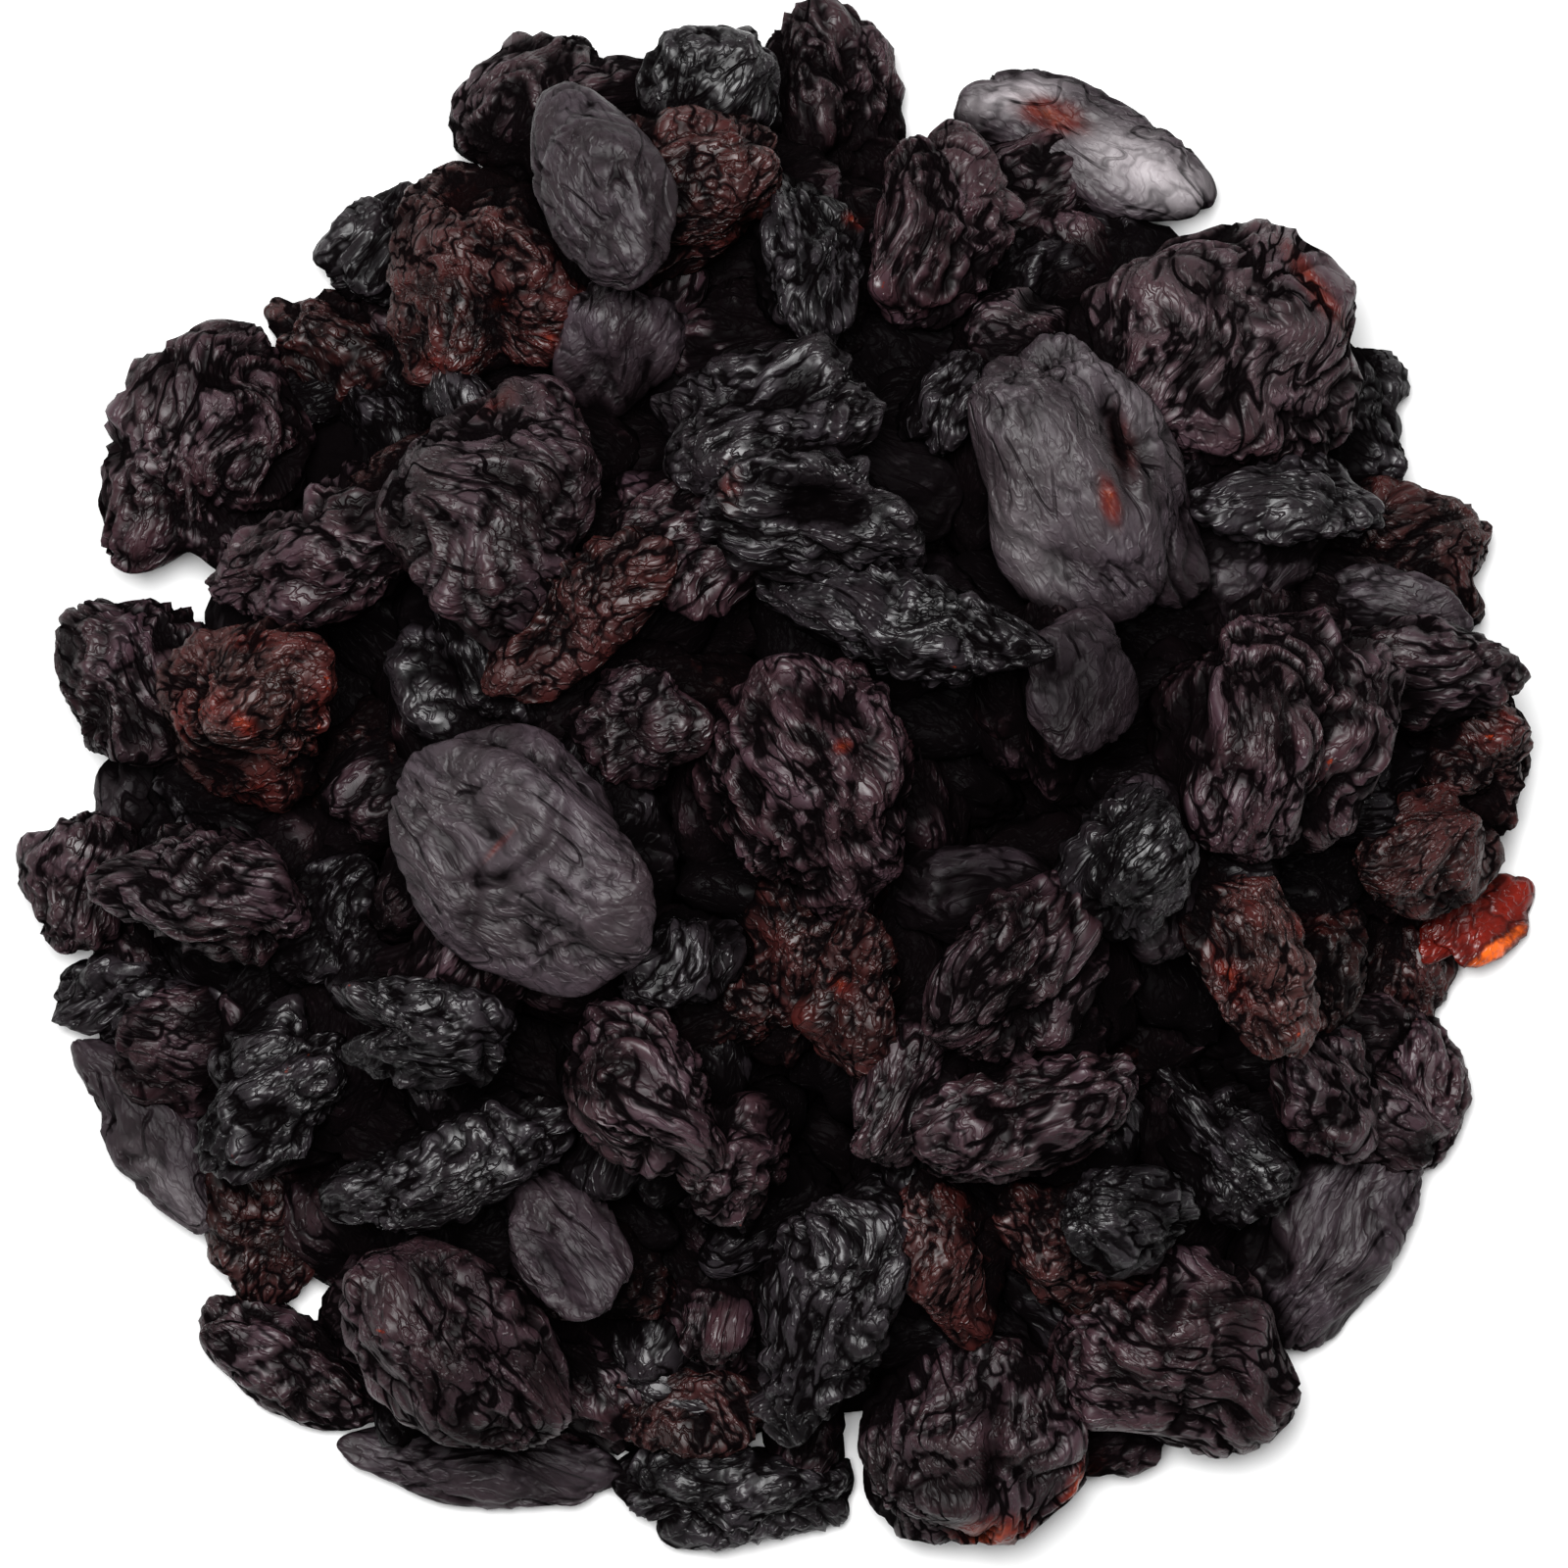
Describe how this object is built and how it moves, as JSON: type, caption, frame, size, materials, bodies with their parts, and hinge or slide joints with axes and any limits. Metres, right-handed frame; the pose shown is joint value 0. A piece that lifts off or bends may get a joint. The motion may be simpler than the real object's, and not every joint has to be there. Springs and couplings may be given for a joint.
{
  "type": "heap of raisins",
  "caption": "Low round heap of dark wrinkled dried grapes lying as they fell on a flat surface, for plates, bowls and kitchen scenes.",
  "frame": {"origin": "on the flat underside of the heap, below the middle of its outline", "axes": "+Z up out of the heap; +Y is up in the picture, which looks straight down; +X is to its right"},
  "size_m": [0.098, 0.1008, 0.0242],
  "materials": {
    "plum_skin": "dark plum-brown dried skin in soft folds, with a soft sheen",
    "black_skin": "near-black dried skin in sharp wrinkles, with a stronger sheen",
    "smooth_skin": "tight dried skin with fine lines and a dull greyish bloom",
    "russet_skin": "red-brown crumbly dried skin with small orange-red spots",
    "amber_flesh": "thin red-orange flake of dried flesh that lets light through",
    "shaded_core": "dark inside of the heap, seen only down the gaps"
  },
  "bodies": {
    "root": {"raisin_heap": "plum_skin"}
  },
  "joints": []
}
